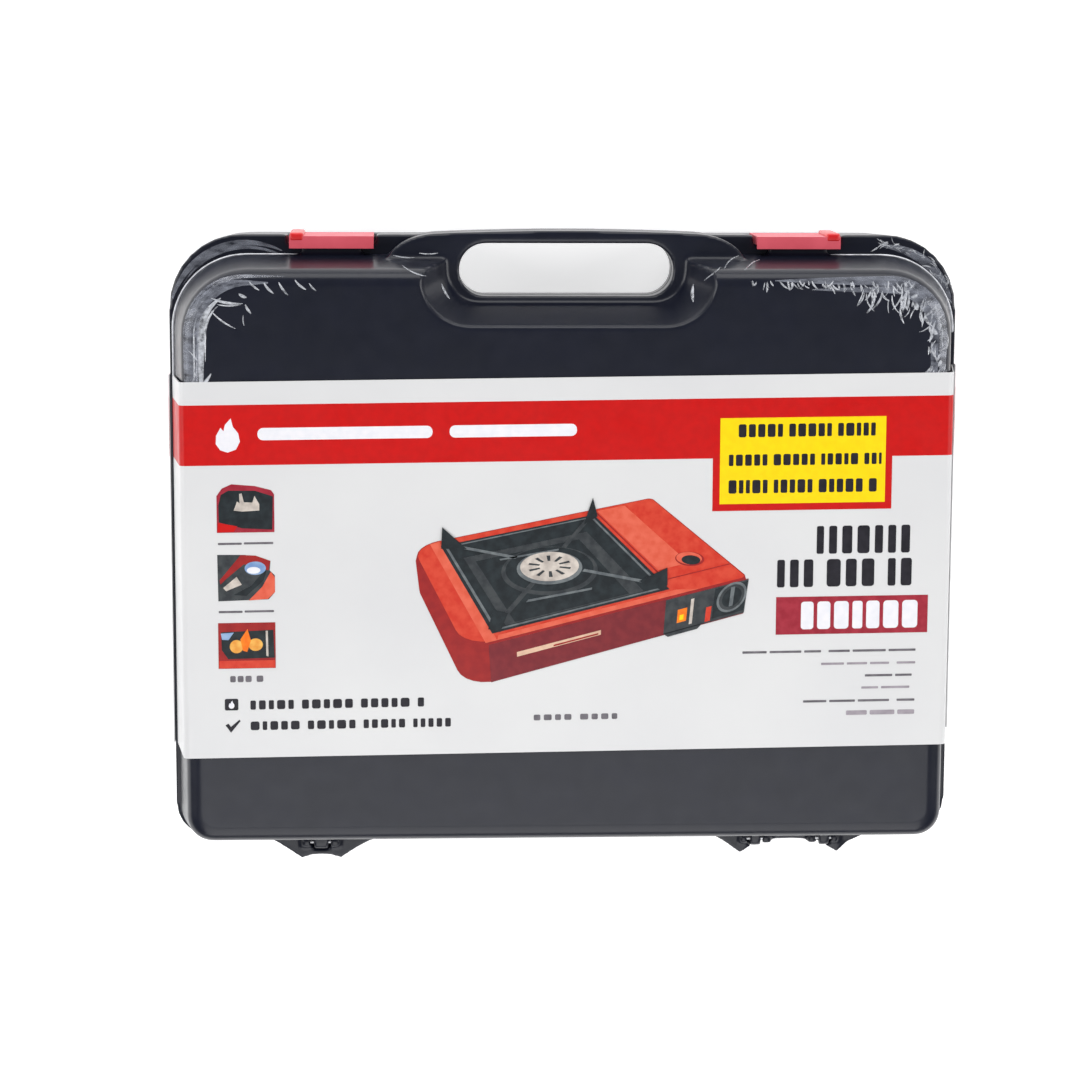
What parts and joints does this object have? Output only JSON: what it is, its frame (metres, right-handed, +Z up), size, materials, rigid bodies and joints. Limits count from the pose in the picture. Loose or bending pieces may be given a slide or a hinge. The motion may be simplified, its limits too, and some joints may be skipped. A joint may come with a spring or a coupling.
{
  "type": "camping stove",
  "caption": "Portable gas camping stove packed in a hinged carry case with a moulded handle, snap latches and a printed card wrap; the lid opens on the complete stove.",
  "frame": {"origin": "under the middle of the case as it lies on its back, on the surface that it lies on", "axes": "+X to the right of the printed face, +Y towards the carrying handle, +Z up out of the lid"},
  "size_m": [0.3798, 0.3082, 0.1089],
  "materials": {
    "case_plastic": "satin blow-moulded polyethylene",
    "latch_plastic": "glossy moulded red",
    "printed_card": "coated white card, printed",
    "pin_steel": "zinc plated",
    "red_paint": "gloss red stove enamel",
    "sheet_steel": "bright zinc plated sheet",
    "black_enamel": "gloss black vitreous enamel",
    "cast_aluminium": "cast and rolled, plain",
    "chrome_trim": "polished chrome",
    "brass_fitting": "machined",
    "control_plastic": "fine matt texture",
    "amber_lens": "tinted",
    "rubber": "matt",
    "white_ceramic": "glazed"
  },
  "bodies": {
    "root": {"case_back_shell": "case_plastic", "wrap_back": "printed_card", "hinge_pin_left": "pin_steel", "hinge_pin_middle": "pin_steel", "hinge_pin_right": "pin_steel", "latch_pin_left": "pin_steel", "latch_pin_right": "pin_steel", "cover_hinge_pin": "pin_steel", "foot_screw_1": "pin_steel", "foot_screw_2": "pin_steel", "foot_screw_3": "pin_steel", "foot_screw_4": "pin_steel", "stove_casing": "red_paint", "base_plate": "sheet_steel", "burner_stand": "sheet_steel", "mixing_tube": "sheet_steel", "regulator_cap": "sheet_steel", "cradle_front": "sheet_steel", "cradle_rear": "sheet_steel", "front_slot_trim": "sheet_steel", "burner_pan": "black_enamel", "pan_support": "black_enamel", "burner_head": "cast_aluminium", "heat_conduction_plate": "cast_aluminium", "heat_shield": "cast_aluminium", "burner_cap": "chrome_trim", "knob_bezel": "chrome_trim", "regulator_body": "brass_fitting", "control_fascia": "control_plastic", "igniter_unit": "control_plastic", "spark_window": "amber_lens", "foot_1": "rubber", "foot_2": "rubber", "foot_3": "rubber", "foot_4": "rubber", "inlet_seal": "rubber", "ignition_lead": "rubber", "electrode": "white_ceramic"},
    "case_lid": {"case_front_shell": "case_plastic", "wrap_front": "printed_card"},
    "left_latch": {"latch_left": "latch_plastic"},
    "right_latch": {"latch_right": "latch_plastic"},
    "knob": {"control_knob": "control_plastic", "knob_spindle": "brass_fitting"},
    "lever": {"lock_lever": "chrome_trim"},
    "collar": {"cartridge_collar": "sheet_steel"},
    "cover": {"cartridge_cover": "red_paint"}
  },
  "joints": [
    {"name": "lid_hinge", "type": "hinge", "parent": "root", "child": "case_lid", "pos_m": [0, -0.1455, 0.0723], "axis": [1, 0, 0], "range_deg": [0, 105]},
    {"name": "left_latch_hinge", "type": "hinge", "parent": "root", "child": "left_latch", "pos_m": [-0.1115, 0.1471, 0.0475], "axis": [-1, 0, 0], "range_deg": [0, 92]},
    {"name": "right_latch_hinge", "type": "hinge", "parent": "root", "child": "right_latch", "pos_m": [0.1115, 0.1471, 0.0475], "axis": [-1, 0, 0], "range_deg": [0, 92]},
    {"name": "knob_turn", "type": "hinge", "parent": "root", "child": "knob", "pos_m": [0.139, -0.1343, 0.044], "axis": [0, -1, 0], "range_deg": [0, 100]},
    {"name": "lever_slide", "type": "slide", "parent": "root", "child": "lever", "axis": [0, 0, -1], "range_m": [0, 0.014]},
    {"name": "collar_slide", "type": "slide", "parent": "root", "child": "collar", "axis": [0, -1, 0], "range_m": [0, 0.007]},
    {"name": "cover_hinge", "type": "hinge", "parent": "root", "child": "cover", "pos_m": [0.0763, 0.0077, 0.0841], "axis": [0, -1, 0], "range_deg": [0, 84]}
  ],
  "couplings": [
    {"joint": "cover_hinge", "follows": "lid_hinge", "ratio": 0.8},
    {"joint": "collar_slide", "follows": "lever_slide", "ratio": 0.5}
  ]
}
